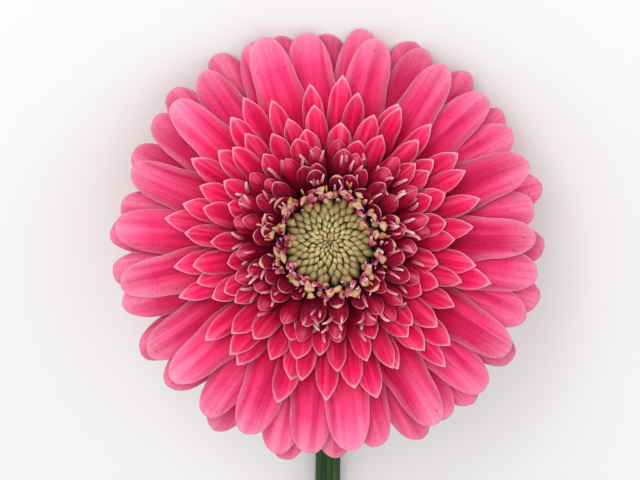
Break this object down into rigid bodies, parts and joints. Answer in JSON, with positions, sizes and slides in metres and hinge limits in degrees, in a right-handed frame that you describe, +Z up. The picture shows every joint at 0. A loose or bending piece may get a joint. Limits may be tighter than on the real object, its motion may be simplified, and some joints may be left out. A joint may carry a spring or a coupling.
{
  "type": "cut gerbera",
  "caption": "Cut gerbera lying on its stem, with a full bloom of pink rays, crested inner florets that darken inwards and a green disc, in a cup of bracts on a bent stem.",
  "frame": {"origin": "on the surface the flower lies on, under the middle of the flower's bounding box", "axes": "+Y along the stem towards the bloom, +Z up from the surface, +X across"},
  "size_m": [0.1128, 0.335, 0.0542],
  "materials": {
    "stem_skin": "satin",
    "bract": "matte",
    "ray_petal": "satin",
    "trans_petal": "satin",
    "inner_petal": "satin",
    "disc_bud": "matte"
  },
  "bodies": {
    "root": {"stem": "stem_skin", "involucre": "bract", "ray_florets": "ray_petal", "outer_trans_florets": "trans_petal", "inner_trans_florets": "inner_petal", "disc_florets": "disc_bud"}
  },
  "joints": []
}
